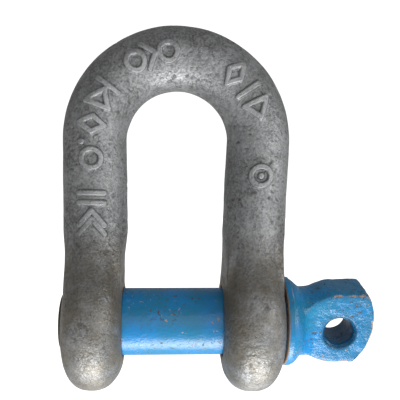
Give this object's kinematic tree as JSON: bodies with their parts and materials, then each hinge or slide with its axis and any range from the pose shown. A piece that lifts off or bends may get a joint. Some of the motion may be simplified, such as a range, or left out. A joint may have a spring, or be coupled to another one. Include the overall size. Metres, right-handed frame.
{
  "type": "dee shackle",
  "caption": "Forged galvanised dee shackle: a round bar bent to a D with an eye at each end, closed by a blue screw pin whose collared head is a flat lug with a hole.",
  "frame": {"origin": "on the pin's axis, midway between the two eyes, where the load or the pad eye on the pin bears", "axes": "+X along the pin towards its head, +Z from the pin up the legs to the crown, +Y away from the viewer of the front"},
  "size_m": [0.1315, 0.0572, 0.155],
  "materials": {
    "galvanised_forging": "hot-dip galvanised forging, dull grey, mottled with darker pits",
    "painted_pin": "blue paint over forged steel, chipped on the shank and along the lug's edges"
  },
  "bodies": {
    "shackle_body": {"shackle_body": "galvanised_forging"},
    "pin_carrier": {"pin_core": "painted_pin"},
    "screw_pin": {"screw_pin": "painted_pin"}
  },
  "joints": [
    {"name": "pin_advance", "type": "slide", "parent": "shackle_body", "child": "pin_carrier", "axis": [1, 0, 0], "range_m": [0, 0.0985]},
    {"name": "pin_turn", "type": "hinge", "parent": "pin_carrier", "child": "screw_pin", "pos_m": [0, 0, 0], "axis": [1, 0, 0], "range_deg": [0, 10080]}
  ],
  "couplings": [
    {"joint": "pin_advance", "follows": "pin_turn", "m_per_rad": 0.00055704}
  ]
}
